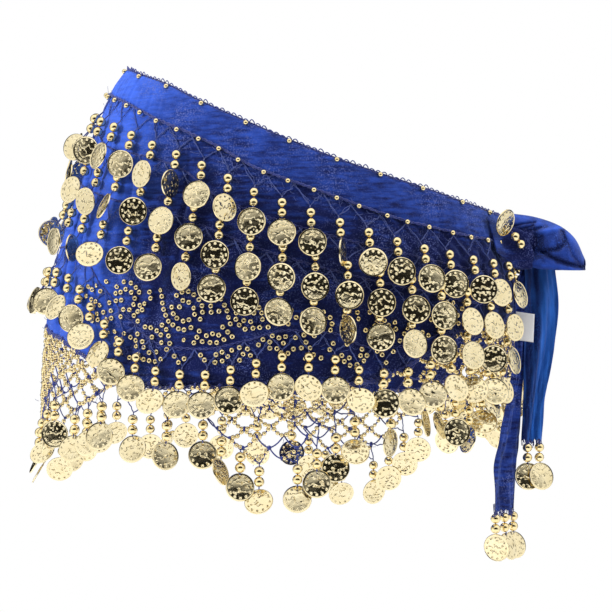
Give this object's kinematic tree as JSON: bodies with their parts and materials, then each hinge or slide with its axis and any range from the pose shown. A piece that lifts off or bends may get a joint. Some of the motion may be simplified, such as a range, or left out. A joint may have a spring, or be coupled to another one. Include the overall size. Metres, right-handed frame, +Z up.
{
  "type": "belly dance hip scarf",
  "caption": "Belly dance hip scarf of blue velvet, tied at one hip, with crochet rows of bead and coin drops, a beaded net under its hem and a coin fringe, kept hollow as worn",
  "frame": {"origin": "the middle of the hips at the level where the scarf is held, its hold mount", "axes": "+Z up; the front, as the picture shows it, faces -Y; the knot and the free ends are at +X"},
  "size_m": [0.3588, 0.2544, 0.3136],
  "materials": {
    "cobalt_velvet": "thin royal blue velvet with a short, soft pile",
    "satin_tie": "satin, brighter on its folds",
    "crochet_thread": "matt navy crochet thread",
    "gold_plate": "thin bright gold plate on stamped coins and beads",
    "white_label": "bare white satin ribbon"
  },
  "bodies": {
    "root": {"cloth_front": "cobalt_velvet", "cloth_back": "cobalt_velvet", "turned_hem_front": "cobalt_velvet", "turned_hem_back": "cobalt_velvet", "coin_row_1_front": "gold_plate", "coin_row_1_back": "gold_plate", "coin_row_2_front": "gold_plate", "coin_row_2_back": "gold_plate", "coin_row_3_front": "gold_plate", "coin_row_3_back": "gold_plate", "coin_row_4_front": "gold_plate", "coin_row_4_back": "gold_plate", "hem_fringe_front": "gold_plate", "hem_fringe_back": "gold_plate", "net_middle": "crochet_thread", "net_side_front": "crochet_thread", "net_side_back": "crochet_thread", "net_end_front": "crochet_thread", "net_end_back": "crochet_thread", "tie_front": "cobalt_velvet", "tie_back": "cobalt_velvet", "knot": "cobalt_velvet", "knot_wing": "satin_tie", "knot_coin": "gold_plate", "tail_long": "cobalt_velvet", "tail_long_fringe": "gold_plate", "tail_short": "satin_tie", "tail_short_fringe": "gold_plate", "care_label": "white_label"}
  },
  "joints": []
}
